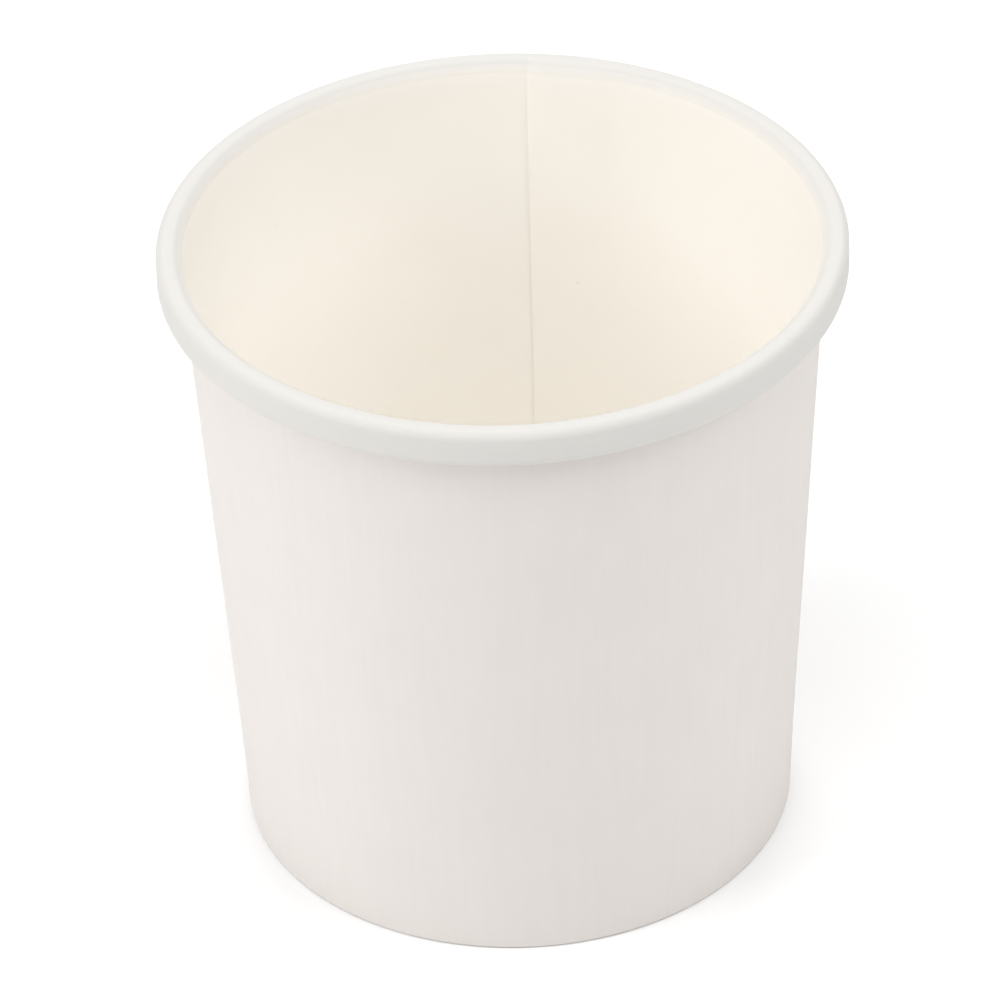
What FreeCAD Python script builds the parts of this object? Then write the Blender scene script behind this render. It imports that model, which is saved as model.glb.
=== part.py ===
import FreeCAD, Part
import math
import os

os.makedirs("parts", exist_ok=True)

# Paper cup with a rolled rim: a fan-shaped board blank wrapped and lapped into the side wall, and a flanged
# disc sealed into its foot. Millimetres, +Z up, the foot stands on Z = 0 and the cup's axis is the Z axis.

# Overall
height = 96.5
rim_radius = 49.0
board = 0.5  # thickness of the paperboard of both pieces

# Foot: the sealed bottom zone is steeper than the wall above it
foot_radius = 40.2
foot_height = 15.0
waist_radius = 40.9
hem_height = 7.5
recess_depth = 8.5
disc_corner = 1.2

# Rolled rim: the top of the wall turned outwards into a tall hollow bead
roll_width = 3.6
roll_height = 5.4
roll_round = 1.7
roll_corner = 1.25
roll_tuck = 3.2  # height of the tucked end above the underside of the bead
roll_gap = 0.1

# Side seam: the inner end of the blank shows as a line inside the cup, a little right of its back
seam_angle = 84.5
lap = 8.0
ease = 5.0  # length over which a layer steps in under its neighbour

least_round = 0.05

ORIGIN = FreeCAD.Vector(0, 0, 0)
UP = FreeCAD.Vector(0, 0, 1)
FULL_TURN = 360
EASE_STEPS = 2
# Straight chords in one round of a section
WIDE_STEPS = 3
ROUND_STEPS = 2
TIGHT_STEPS = 1
# The same for the wall's rounds on each side of the board, from the hem's fold to the rim's tucked end
PRINTED_STEPS = [ROUND_STEPS, ROUND_STEPS, 0, ROUND_STEPS, ROUND_STEPS, TIGHT_STEPS, TIGHT_STEPS]
COATED_STEPS = [0, 0, 0, WIDE_STEPS, WIDE_STEPS, ROUND_STEPS, TIGHT_STEPS]
MOST_ROUND = 0.45  # share of a run that one rounded corner may take

foot_tilt = math.atan2(waist_radius - foot_radius, foot_height)
mouth_radius = rim_radius - roll_width + board
plate_radius = foot_radius / 2

# Angles round the cup where the lap and its eased sides start and end, counter-clockwise from +X
lap_turn = math.degrees(lap / waist_radius)
ease_turn = math.degrees(ease / waist_radius)
lap_end = seam_angle
left_end = lap_end + ease_turn
lap_start = seam_angle - lap_turn
right_start = lap_start - ease_turn


def foot_line(z, depth=0.0):
    """Radius in the foot at a height and a depth under its outside face."""
    return foot_radius + z * math.tan(foot_tilt) - depth / math.cos(foot_tilt)


def wall_line(z):
    """Radius of the wall's outside face above the foot."""
    return waist_radius + (mouth_radius - waist_radius) * (z - foot_height) / (height - foot_height)


def along(start, end):
    """Direction from one point of a path to the next."""
    return (end - start).normalize()


def turned_left(vector, angle):
    """A vector turned to the left by an angle, in the plane of radius and height."""
    cosine, sine = math.cos(angle), math.sin(angle)
    return FreeCAD.Vector(cosine * vector.x - sine * vector.z, 0, sine * vector.x + cosine * vector.z)


def left_of(direction):
    """The direction a quarter turn to the left."""
    return FreeCAD.Vector(-direction.z, 0, direction.x)


def rounded_path(corners, radii, steps, shift):
    """Points of a path moved to its left by shift, with concentric rounds of a few straight chords each.

    A corner with no step stays sharp.
    """
    points = [FreeCAD.Vector(r, 0, z) for r, z in corners]
    runs = [along(a, b) for a, b in zip(points, points[1:])]
    sides = [left_of(run) for run in runs]
    path = [points[0] + sides[0] * shift]
    for i, (radius, count) in enumerate(zip(radii, steps), start=1):
        before, after = runs[i - 1], runs[i]
        if count == 0:
            path.append(points[i] + (sides[i - 1] + sides[i]) * (shift / (1 + sides[i - 1].dot(sides[i]))))
            continue
        turn = before.getAngle(after)
        room = min(points[i].distanceToPoint(points[i - 1]), points[i].distanceToPoint(points[i + 1]))
        radius = min(radius, MOST_ROUND * room / math.tan(turn / 2))
        centre = points[i] + (after - before).normalize() * (radius / math.cos(turn / 2))
        way = 1 if sides[i - 1].dot(after) > 0 else -1
        spoke = sides[i - 1] * (shift - way * radius)
        for step in range(count + 1):
            path.append(centre + turned_left(spoke, way * turn * step / count))
    path.append(points[-1] + sides[-1] * shift)
    return path


def strip(near_path, far_path):
    """Closed outline of the board between two paths."""
    outline = near_path + far_path[::-1]
    return Part.makePolygon(outline + outline[:1])


def wall_outline(layers, near, far):
    """The blank's section where it is this many boards thick, between two depths counted in boards.

    The path is the blank's outside face: up the hem, round the fold, up the wall and round the rolled rim. It
    runs downwards in the hem, so the inside face of the blank is on its left all the way.
    """
    thickness = layers * board
    stack = 2 * thickness + board
    top = height - thickness
    roll_bottom = height - roll_height + thickness
    tuck_top = height - roll_height + roll_tuck
    tucked = roll_gap + thickness
    corners = [
        (foot_line(hem_height, stack), hem_height),
        (foot_line(0, stack), 0),
        (foot_radius, 0),
        (waist_radius, foot_height),
        (wall_line(top), top),
        (rim_radius - thickness, top),
        (rim_radius - thickness, roll_bottom),
        (wall_line(roll_bottom) + tucked, roll_bottom),
        (wall_line(tuck_top) + tucked, tuck_top),
    ]
    top_round = max(roll_round - thickness, least_round)
    low_round = max(roll_corner - thickness, least_round)
    radii = [thickness, thickness, 0, top_round, top_round, low_round, low_round]
    printed = rounded_path(corners, radii, PRINTED_STEPS, near * board)
    coated = rounded_path(corners, radii, COATED_STEPS, far * board)
    return strip(printed, coated)


def disc_outline(layers):
    """Section of the disc's rim, its skirt held between the wall and the hem where the blank is layers thick."""
    depth = layers * board
    disc_top = recess_depth + board
    corners = [
        (foot_line(depth, depth), depth),
        (foot_line(disc_top, depth), disc_top),
        (plate_radius, disc_top),
    ]
    coated = rounded_path(corners, [disc_corner], [ROUND_STEPS], 0)
    printed = rounded_path(corners, [disc_corner], [TIGHT_STEPS], board)
    return strip(coated, printed)


def turned(outline, start, end):
    """Solid of an outline turned about the axis from one angle to another, in degrees."""
    face = Part.Face(outline)
    face.rotate(ORIGIN, UP, start)
    return face.revolve(ORIGIN, UP, end - start)


def eased(outline_at, start, end):
    """Solid between two angles whose section changes smoothly, with outline_at giving it from 0 to 1."""
    outlines = []
    for step in range(EASE_STEPS + 1):
        share = step / EASE_STEPS
        outline = outline_at(share * share * (3 - 2 * share))
        outline.rotate(ORIGIN, UP, start + (end - start) * share)
        outlines.append(outline)
    return Part.makeLoft(outlines, True, True)


def make_side_wall():
    """One blank: single board all round, both ends together in the lap, and an eased layer on each side."""
    single = turned(wall_outline(1, 0, 1), left_end, right_start + FULL_TURN)
    double = turned(wall_outline(2, 0, 2), lap_start, lap_end)
    outer_end = eased(lambda share: wall_outline(2 - share, 0, 1), lap_end, left_end)
    inner_end = eased(lambda share: wall_outline(1 + share, share, 1 + share), right_start, lap_start)
    return single.fuse([double, outer_end, inner_end]).removeSplitter()


def make_bottom_disc():
    """Flat disc with a skirt turned down, which steps in where the lap passes behind it."""
    plate = Part.makeCylinder(plate_radius, board, FreeCAD.Vector(0, 0, recess_depth))
    ring = turned(disc_outline(1), left_end, right_start + FULL_TURN)
    at_lap = turned(disc_outline(2), lap_start, lap_end)
    left = eased(lambda share: disc_outline(2 - share), lap_end, left_end)
    right = eased(lambda share: disc_outline(1 + share), right_start, lap_start)
    return plate.fuse([ring, at_lap, left, right]).removeSplitter()


pieces = {
    "side_wall": make_side_wall(),
    "bottom_disc": make_bottom_disc(),
}
for name, shape in pieces.items():
    solid = shape.Solids[0]
    print(name, "solids", len(shape.Solids), "valid", shape.isValid(), "volume", round(solid.Volume, 1))
    solid.exportStep("parts/" + name + ".step")
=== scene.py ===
import math

import bmesh
import bpy
from mathutils import Matrix, Vector, noise


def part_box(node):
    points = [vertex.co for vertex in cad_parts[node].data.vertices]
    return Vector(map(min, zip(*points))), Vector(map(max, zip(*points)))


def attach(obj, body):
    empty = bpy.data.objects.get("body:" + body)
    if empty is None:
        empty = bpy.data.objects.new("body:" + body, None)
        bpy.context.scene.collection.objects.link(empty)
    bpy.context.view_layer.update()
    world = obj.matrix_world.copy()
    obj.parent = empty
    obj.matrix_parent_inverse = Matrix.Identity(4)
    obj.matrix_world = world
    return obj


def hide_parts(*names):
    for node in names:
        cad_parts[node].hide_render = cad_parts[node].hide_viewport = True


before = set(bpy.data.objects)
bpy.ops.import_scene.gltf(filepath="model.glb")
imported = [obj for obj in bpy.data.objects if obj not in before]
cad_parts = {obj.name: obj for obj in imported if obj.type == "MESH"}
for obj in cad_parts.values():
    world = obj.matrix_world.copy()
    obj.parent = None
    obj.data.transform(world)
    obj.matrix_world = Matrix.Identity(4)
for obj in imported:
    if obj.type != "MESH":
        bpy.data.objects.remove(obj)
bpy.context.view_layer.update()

MM = 0.001
UP = Vector((0, 0, 1))
ORIGIN = Vector((0, 0, 0))
FULL_TURN = 360

# The overall sizes come from the frame. The rest are the real sizes of the two pieces of board, in metres.
wall_low, wall_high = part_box("side_wall")
height = wall_high.z
rim_radius = min(wall_high.x, -wall_low.x, wall_high.y, -wall_low.y)
board = 0.5 * MM

foot_radius = 40.2 * MM
foot_height = 15 * MM
waist_radius = 40.9 * MM
hem_height = 7.5 * MM
disc_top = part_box("bottom_disc")[1].z
disc_corner = 1.2 * MM

roll_width = 3.6 * MM
roll_height = 5.4 * MM
roll_round = 1.7 * MM
roll_shoulder = 1.2 * MM
roll_corner = 1.25 * MM
roll_tuck = 3.2 * MM
roll_gap = 0.1 * MM
fold_slack = 0.1 * MM

seam_angle = 84.5
lap = 8 * MM
ease = 5 * MM
# Two layers become one over this length on each side of the inner end's cut edge. That end is skived: at its
# edge it is thinned by this share, and by this factor more in the rolled rim, which is pressed flatter.
skive = 2.5 * MM
EDGE_SHARE = 0.5
RIM_PRESSING = 1.8

# The open mouth has settled slightly oval, narrower from left to right, with faint uneven stretches
oval_inset = 0.3 * MM
uneven_inset = 0.1 * MM
uneven_length = 25 * MM

foot_tilt = math.atan2(waist_radius - foot_radius, foot_height)
mouth_radius = rim_radius - roll_width + board
lap_turn = math.degrees(lap / waist_radius)
ease_turn = math.degrees(ease / waist_radius)
skive_turn = math.degrees(skive / waist_radius)
lap_end = seam_angle
skive_start = lap_end - skive_turn
left_end = lap_end + skive_turn
lap_start = seam_angle - lap_turn
right_start = lap_start - ease_turn

# How finely the meshes are made
STEP_TURN = 1.25
EASE_STEPS = 6
SKIVE_STEPS = 4
ROUND_SEGMENTS = 7
ROUND_PROFILE = 0.5
MERGE_DISTANCE = 0.001 * MM
# Pieces that each run of a section is divided into, between its corners
BLANK_RUNS = [2, 1, 4, 20, 1, 1, 1, 1]
DISC_RUNS = [10, 2]
SHARP_ANGLE = 40
EDGE_SOFTNESS = 0.04 * MM
EDGE_SEGMENTS = 2

# Finishes: pairs of colours as red, green and blue, pairs of roughness, and patterns and reliefs in metres
WHITE_BOARD = ((0.734, 0.695, 0.664), (0.753, 0.714, 0.682))
CREAM_COATING = ((0.962, 0.928, 0.872), (0.967, 0.938, 0.887))
RAW_CORE = ((0.72, 0.67, 0.58), (0.82, 0.78, 0.71))
FLOOR_PAPER = ((0.94, 0.94, 0.94), (0.95, 0.95, 0.95))
# Painted shade: the rolled rim carries the same cream coating, given this darker grey to dim the stronger
# light on its top
RIM_PAINTED_SHADE = (0.668, 0.651, 0.622)
SPECK_TONE = (0.6, 0.52, 0.4)
PRINTED_ROUGHNESS = (0.62, 0.74)
COATED_ROUGHNESS = (0.58, 0.68)
CORE_ROUGHNESS = (0.85, 0.95)
FLOOR_ROUGHNESS = 0.8
PRINTED_RELIEF = 0.012 * MM
COATED_RELIEF = 0.006 * MM
CORE_RELIEF = 0.03 * MM
FLOOR_RELIEF = 0.01 * MM

fleck_size = 0.35 * MM
fleck_share = 0.55
fibre_width = 0.7 * MM
fibre_stretch = 40
printed_patch = 9 * MM
printed_streak = 1.1 * MM
printed_stretch = 60
coated_patch = 12 * MM
speck_spacing = 9 * MM
speck_radius = 0.35 * MM
speck_strength = 0.3
core_fibre = 0.12 * MM
core_stretch = 3
floor_patch = 0.2
floor_grain = 1 * MM
# Between these values a cloudy pattern goes from one colour to the other
PATCH_RANGE = (0.3, 0.7)
CORE_RANGE = (0.35, 0.65)
# The rim's painted shade is complete this share of its round below the top. It is a darker, greyer tone that
# dims the upward round, which the lights strike most.
RIM_PAINTED_SHADE_END = 1 / 8

# Camera and picture: the view of the photograph, from the front and above, slightly rolled
camera_distance = 0.924
camera_rise = 35.91
camera_roll = 1.95
aim = Vector((-1.54 * MM, 0, height / 2 + 2.45 * MM))
focal_length = 230.1
sensor_width = 36
clip_near = 0.05
clip_far = 10

# The studio: half the floor's side, the strength of the white surroundings, and each soft light's name, place
# and side in metres and power in watts
floor_reach = 3
SKY_STRENGTH = 0.358
SOFT_LIGHTS = (
    ("overhead", (0, -0.4, 1.5), 1.5, 13.5),
    ("left key", (-1.2, -0.4, 1), 0.9, 6.8),
    ("low left fill", (-1.3, -0.5, 0.4), 0.8, 3),
    ("right fill", (1.2, -0.35, 1), 0.9, 6.7),
    ("rim light from behind", (0, 1.2, 1.1), 0.9, 7.3),
)


class Number:
    """A value that varies over a material. Arithmetic on it adds Math nodes."""

    def __init__(self, finish, socket):
        self.finish = finish
        self.socket = socket

    def maths(self, operation, *terms):
        return self.finish.node("ShaderNodeMath", {"operation": operation}, dict(enumerate(terms)))

    def __add__(self, other):
        return self.maths("ADD", self, other)

    def __mul__(self, other):
        return self.maths("MULTIPLY", self, other)

    __radd__ = __add__
    __rmul__ = __mul__


class Finish:
    """A material in the making, patterned by the place on the object."""

    def __init__(self, name):
        self.material = bpy.data.materials.new(name)
        self.material.use_nodes = True
        self.tree = self.material.node_tree
        self.tree.nodes.clear()
        self.place = self.node("ShaderNodeTexCoord", {}, {}, "Object")

    def node(self, kind, settings, sockets, output=0):
        """Adds a node, its settings first, then the values or links of its sockets, and gives one output."""
        node = self.tree.nodes.new(kind)
        for name, value in settings.items():
            setattr(node, name, value)
        named = {socket.identifier: socket for socket in node.inputs}
        for key, value in sockets.items():
            socket = node.inputs[key] if isinstance(key, int) else named[key]
            if isinstance(value, Number):
                self.tree.links.new(value.socket, socket)
            else:
                socket.default_value = value
        found = {socket.identifier: socket for socket in node.outputs}
        return Number(self, node.outputs[output] if isinstance(output, int) else found[output])

    def clouds(self, size, detail=2, stretch=1):
        """Noise from 0 to 1 in patches of about this size in metres, and stretch times as long upwards."""
        scale = (1 / size, 1 / size, 1 / (size * stretch))
        place = self.node("ShaderNodeMapping", {}, {"Vector": self.place, "Scale": scale})
        return self.node("ShaderNodeTexNoise", {}, {"Vector": place, "Scale": 1, "Detail": detail})

    def ramped(self, value, low, high):
        """Value brought to 0 at low and 1 at high, and held there."""
        return self.node("ShaderNodeMapRange", {}, {"Value": value, "From Min": low, "From Max": high})

    def mixed(self, share, first, second):
        """A colour between two others."""
        return self.node(
            "ShaderNodeMix", {"data_type": "RGBA"},
            {"Factor_Float": share, "A_Color": first, "B_Color": second}, "Result_Color",
        )

    def shaded(self, pattern, between, shades):
        """A colour that goes from the first shade to the second as the pattern goes between two values."""
        return self.mixed(self.ramped(pattern, *between), colour(*shades[0]), colour(*shades[1]))

    def done(self, tone, roughness, relief, depth):
        """Ends the material. The relief, from 0 to 1, raises its surface by the depth in metres."""
        normal = self.node("ShaderNodeBump", {}, {"Height": relief, "Distance": depth, "Strength": 1})
        surface = self.node(
            "ShaderNodeBsdfPrincipled", {}, {"Base Color": tone, "Roughness": roughness, "Normal": normal}
        )
        output = self.tree.nodes.new("ShaderNodeOutputMaterial")
        self.tree.links.new(surface.socket, output.inputs["Surface"])
        return self.material


def colour(red, green, blue):
    """A colour as a shader takes it."""
    return (red, green, blue, 1)


def spread(pattern, least_and_most):
    """A value that goes from the least to the most as the pattern goes from 0 to 1."""
    least, most = least_and_most
    return least + (most - least) * pattern


def board_grain(finish):
    """Fibres of the board: fine flecks with long faint streaks up the wall, from 0 to 1."""
    flecks = finish.clouds(fleck_size, detail=3)
    streaks = finish.clouds(fibre_width, stretch=fibre_stretch)
    return flecks * fleck_share + streaks * (1 - fleck_share)


def printed_face():
    """Bare smooth white board, matt, with faint streaks."""
    finish = Finish("white_board_face")
    grain = board_grain(finish)
    patches = finish.clouds(printed_patch)
    streaks = finish.clouds(printed_streak, detail=1, stretch=printed_stretch)
    tone = finish.shaded((patches + streaks) * (1 / 2), PATCH_RANGE, WHITE_BOARD)
    return finish.done(tone, spread(grain, PRINTED_ROUGHNESS), grain, PRINTED_RELIEF)


def coated_face():
    """The thin sealed coating of the food side, creamy with a few specks, with painted shade over the rolled
    rim: a greyer, darker tone there dims the stronger light its upward round gets.
    """
    finish = Finish("cream_coated_face")
    grain = board_grain(finish)
    cream = finish.shaded(finish.clouds(coated_patch), PATCH_RANGE, CREAM_COATING)
    apart = finish.node(
        "ShaderNodeTexVoronoi", {}, {"Vector": finish.place, "Scale": 1 / speck_spacing}, "Distance"
    )
    specks = finish.ramped(apart, speck_radius / speck_spacing, 0)
    inside = finish.mixed(specks * speck_strength, cream, colour(*SPECK_TONE))
    flat = finish.node("ShaderNodeVectorMath", {"operation": "MULTIPLY"}, {0: finish.place, 1: (1, 1, 0)})
    radius = finish.node("ShaderNodeVectorMath", {"operation": "LENGTH"}, {0: flat}, "Value")
    rise = finish.node("ShaderNodeSeparateXYZ", {}, {0: finish.place}, "Z")
    # Painted shade over the rolled rim: the tone turns to the rim's darker grey outwards of the mouth and up
    # its top round
    outward = finish.ramped(radius, mouth_radius - board, mouth_radius)
    upward = finish.ramped(rise, height - roll_round, height - roll_round * RIM_PAINTED_SHADE_END)
    tone = finish.mixed(outward.maths("MAXIMUM", outward, upward), inside, colour(*RIM_PAINTED_SHADE))
    return finish.done(tone, spread(grain, COATED_ROUGHNESS), grain, COATED_RELIEF)


def cut_edge():
    """The raw core of the board where it is cut."""
    finish = Finish("cut_board_edge")
    fibres = finish.clouds(core_fibre, detail=4, stretch=core_stretch)
    tone = finish.shaded(fibres, CORE_RANGE, RAW_CORE)
    return finish.done(tone, spread(fibres, CORE_ROUGHNESS), fibres, CORE_RELIEF)


def foot_line(z, depth):
    """Radius in the foot at a height and a depth under its outside face."""
    return foot_radius + z * math.tan(foot_tilt) - depth / math.cos(foot_tilt)


def wall_line(z, depth=0):
    """Radius above the foot at a height and a depth under the outside face."""
    return waist_radius + (mouth_radius - waist_radius) * (z - foot_height) / (height - foot_height) - depth


def drawn_line(bm, corners, radii, runs, turn):
    """Adds a rounded line through corners of radius and height, turned about the axis. Gives its edges."""
    line = bmesh.new()
    points = [Vector((r, 0, z)) for r, z in corners]
    chain = [line.verts.new(point) for point in points]
    for start, end, pieces in zip(chain, chain[1:], runs):
        between = [line.verts.new(start.co.lerp(end.co, step / pieces)) for step in range(1, pieces)]
        for pair in zip([start, *between], [*between, end]):
            line.edges.new(pair)
    for i, radius in enumerate(radii, start=1):
        if radius:
            bend = (points[i] - points[i - 1]).angle(points[i + 1] - points[i])
            bmesh.ops.bevel(
                line, geom=[chain[i]], offset=radius * math.tan(bend / 2), offset_type="OFFSET",
                segments=ROUND_SEGMENTS, profile=ROUND_PROFILE, affect="VERTICES", material=-1,
            )
    line.transform(Matrix.Rotation(math.radians(turn), 4, "Z"))
    drawn = bpy.data.meshes.new("line")
    line.to_mesh(drawn)
    line.free()
    earlier = len(bm.edges)
    bm.from_mesh(drawn)
    bpy.data.meshes.remove(drawn)
    return bm.edges[earlier:]


def turned_on(bm, edges, turn):
    """Sweeps a line about the axis by an angle in degrees, and gives the line where it ends."""
    verts = list({vert for edge in edges for vert in edge.verts})
    made = bmesh.ops.spin(
        bm, geom=verts + edges, cent=ORIGIN, axis=UP, dvec=ORIGIN, angle=math.radians(turn),
        steps=math.ceil(turn / STEP_TURN), use_merge=False, use_normal_flip=False, use_duplicate=False,
    )
    return [item for item in made["geom_last"] if isinstance(item, bmesh.types.BMEdge)]


def smooth(along):
    """A share from 0 to 1 that starts and ends gently."""
    return along * along * (3 - 2 * along)


def pressed(share):
    """How far two layers have become one in the rolled rim, where they have by this share in the wall."""
    return min(1, share * RIM_PRESSING)


def eased_on(bm, edges, line_at, start, end, steps, last=1, thinned=False):
    """Joins a line to others that line_at draws from share 0 at start to share 1 at end, in degrees.

    It stops where last says, from 0 at start to 1 at end, and gives the last line. A thinned layer's verts
    keep the share.
    """
    weights = bm.verts.layers.deform.verify() if thinned else None
    for step in range(1, steps + 1):
        along = last * step / steps
        share = smooth(along)
        onward = line_at(share, start + (end - start) * along)
        if thinned:
            for vert in {vert for edge in onward for vert in edge.verts}:
                vert[weights][0] = share if vert.co.z < height - roll_height else pressed(share)
        bmesh.ops.bridge_loops(bm, edges=edges + onward)
        edges = onward
    return edges


def blank_line(bm, layers, depth, turn, rolled=None):
    """Printed face of one layer of the side wall where there are this many, at this depth counted in boards.

    It runs down the hem, round the fold, up the wall and round the rolled rim to its tucked end. The rim has
    another number of layers where rolled gives one.
    """
    near = depth * board
    left = ((rolled or layers) - depth) * board
    hem_depth = (2 * layers + 1 - depth) * board
    top = height - left
    roll_bottom = height - roll_height + left
    tuck_top = height - roll_height + roll_tuck
    tucked = roll_gap + left
    corners = [
        (foot_line(hem_height, hem_depth), hem_height),
        (foot_line(near, hem_depth), near),
        (foot_line(near, near), near),
        (foot_line(foot_height, near), foot_height),
        (wall_line(top, near), top),
        (rim_radius - left, top),
        (rim_radius - left, roll_bottom),
        (wall_line(roll_bottom) + tucked, roll_bottom),
        (wall_line(tuck_top) + tucked, tuck_top),
    ]
    fold = (layers - depth) * board + fold_slack
    radii = [fold, fold, 0, roll_round - left, roll_shoulder - left, roll_corner - left, roll_corner - left]
    return drawn_line(bm, corners, radii, BLANK_RUNS, turn)


def disc_line(bm, layers, turn):
    """Coated face of the bottom disc from its centre over the corner to the end of its skirt."""
    depth = layers * board
    corners = [
        (0, disc_top),
        (foot_line(disc_top, depth), disc_top),
        (foot_line(depth, depth), depth),
    ]
    return drawn_line(bm, corners, [disc_corner], DISC_RUNS, turn)


def settled(point):
    """Where a point of the cup has moved to: inwards only, by nothing in the foot and most at the rim."""
    share = max(0, point.z - foot_height) / (height - foot_height)
    outward = point.xy.normalized()
    uneven = uneven_inset * (1 + noise.noise(point / uneven_length)) / 2
    inset = share * (oval_inset * outward.x ** 2 + uneven)
    return Vector((point.x - outward.x * inset, point.y - outward.y * inset, point.z))


def faced(bm, faced_by):
    """Turns a sheet's face the right way: at its most outlying point along faced_by it looks along it."""
    bmesh.ops.remove_doubles(bm, verts=bm.verts, dist=MERGE_DISTANCE)
    bmesh.ops.recalc_face_normals(bm, faces=bm.faces)
    facing = max(bm.faces, key=lambda face: face.calc_center_median().dot(faced_by))
    if facing.normal.dot(faced_by) < 0:
        bmesh.ops.reverse_faces(bm, faces=bm.faces)


def boarded(name, bm, finishes):
    """A piece from one face of its board, which gets its thickness behind it, less where the sheet is skived.

    The finishes are those of that face, of the other face and of the cut edges.
    """
    for vert in bm.verts:
        vert.co = settled(vert.co)
    mesh = bpy.data.meshes.new(name)
    bm.to_mesh(mesh)
    bm.free()
    for finish in finishes:
        mesh.materials.append(finish)
    piece = bpy.data.objects.new(name, mesh)
    bpy.context.scene.collection.objects.link(piece)
    thickness = piece.modifiers.new("Board", "SOLIDIFY")
    thickness.thickness = board
    thickness.offset = -1
    thickness.use_even_offset = True
    thickness.vertex_group = piece.vertex_groups.new(name="skived").name
    thickness.invert_vertex_group = True
    thickness.material_offset = 1
    thickness.material_offset_rim = 2
    softening = piece.modifiers.new("Cut edges", "BEVEL")
    softening.limit_method = "ANGLE"
    softening.angle_limit = math.radians(SHARP_ANGLE)
    softening.width = EDGE_SOFTNESS
    softening.segments = EDGE_SEGMENTS
    finished = bpy.data.meshes.new_from_object(piece.evaluated_get(bpy.context.evaluated_depsgraph_get()))
    piece.modifiers.clear()
    piece.vertex_groups.clear()
    piece.data = finished
    finished.shade_smooth()
    finished.set_sharp_from_angle(angle=math.radians(SHARP_ANGLE))
    return piece


def seam_line(bm, share, depth, turn):
    """Line of a layer beside the seam, where the two layers become one."""
    return blank_line(bm, 2 - share, depth, turn, rolled=2 - pressed(share))


def make_side_wall(printed, coated, edge):
    """The wrapped blank, from its outer end round the cup to its skived inner end, which laps over it."""
    bm = bmesh.new()
    line = blank_line(bm, 2, 0, lap_start)
    line = turned_on(bm, line, skive_start - lap_start)
    line = eased_on(
        bm, line, lambda share, turn: seam_line(bm, share, 0, turn), skive_start, left_end, 2 * SKIVE_STEPS
    )
    line = turned_on(bm, line, right_start + FULL_TURN - left_end)
    line = eased_on(
        bm, line, lambda share, turn: blank_line(bm, 1 + share, share, turn), right_start, lap_start,
        EASE_STEPS,
    )
    line = turned_on(bm, line, skive_start - lap_start)
    eased_on(
        bm, line, lambda share, turn: seam_line(bm, share, 1, turn), skive_start, left_end, SKIVE_STEPS,
        last=EDGE_SHARE, thinned=True,
    )
    faced(bm, -UP)
    return boarded("side_wall_board", bm, [printed, coated, edge])


def make_bottom_disc(printed, coated, edge):
    """The disc with its skirt, which steps in where the lap passes behind it."""
    bm = bmesh.new()
    line = disc_line(bm, 2, lap_start)
    line = turned_on(bm, line, skive_start - lap_start)
    line = eased_on(
        bm, line, lambda share, turn: disc_line(bm, 2 - share, turn), skive_start, left_end, 2 * SKIVE_STEPS
    )
    line = turned_on(bm, line, right_start + FULL_TURN - left_end)
    eased_on(bm, line, lambda share, turn: disc_line(bm, 1 + share, turn), right_start, lap_start, EASE_STEPS)
    faced(bm, UP)
    return boarded("bottom_disc_board", bm, [coated, printed, edge])


def pale_floor():
    """Plain pale paper floor under the cup."""
    bm = bmesh.new()
    bmesh.ops.create_grid(bm, x_segments=2, y_segments=2, size=floor_reach)
    mesh = bpy.data.meshes.new("floor")
    bm.to_mesh(mesh)
    bm.free()
    finish = Finish("pale_floor")
    tone = finish.mixed(finish.clouds(floor_patch), colour(*FLOOR_PAPER[0]), colour(*FLOOR_PAPER[1]))
    mesh.materials.append(finish.done(tone, FLOOR_ROUGHNESS, finish.clouds(floor_grain), FLOOR_RELIEF))
    floor = bpy.data.objects.new("floor", mesh)
    bpy.context.scene.collection.objects.link(floor)


def soft_light(name, place, size, power):
    """A square soft light that faces the middle of the cup."""
    light = bpy.data.lights.new(name, "AREA")
    light.size = size
    light.energy = power
    lamp = bpy.data.objects.new(name, light)
    lamp.location = place
    lamp.rotation_euler = (Vector((0, 0, height / 2)) - Vector(place)).to_track_quat("-Z", "Y").to_euler()
    bpy.context.scene.collection.objects.link(lamp)


def light_scene():
    """An even white studio, a little brighter from the left."""
    world = bpy.data.worlds.new("studio")
    world.use_nodes = True
    surroundings = world.node_tree.nodes["Background"].inputs
    surroundings["Color"].default_value = colour(1, 1, 1)
    surroundings["Strength"].default_value = SKY_STRENGTH
    bpy.context.scene.world = world
    for light in SOFT_LIGHTS:
        soft_light(*light)
    bpy.context.scene.view_settings.view_transform = "Standard"


def place_camera():
    """A distant long lens at the photograph's angle."""
    rise = math.radians(camera_rise)
    back = Vector((0, -math.cos(rise), math.sin(rise)))
    lens = bpy.data.cameras.new("camera")
    lens.lens = focal_length
    lens.sensor_width = sensor_width
    lens.clip_start = clip_near
    lens.clip_end = clip_far
    camera = bpy.data.objects.new("camera", lens)
    middle = Vector((0, 0, height / 2))
    towards = aim - (middle + back * camera_distance)
    look = towards.to_track_quat("-Z", "Y").to_matrix().to_4x4()
    roll = Matrix.Rotation(math.radians(-camera_roll), 4, "Z")
    camera.matrix_world = Matrix.Translation(middle + back * camera_distance) @ look @ roll
    bpy.context.scene.collection.objects.link(camera)
    bpy.context.scene.camera = camera


finishes = (printed_face(), coated_face(), cut_edge())
pieces = (
    (make_side_wall(*finishes), "side_wall", "wall_board"),
    (make_bottom_disc(*finishes), "bottom_disc", "disc_board"),
)
for piece, node, slot in pieces:
    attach(piece, "root")
    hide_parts(node)

pale_floor()
light_scene()
place_camera()
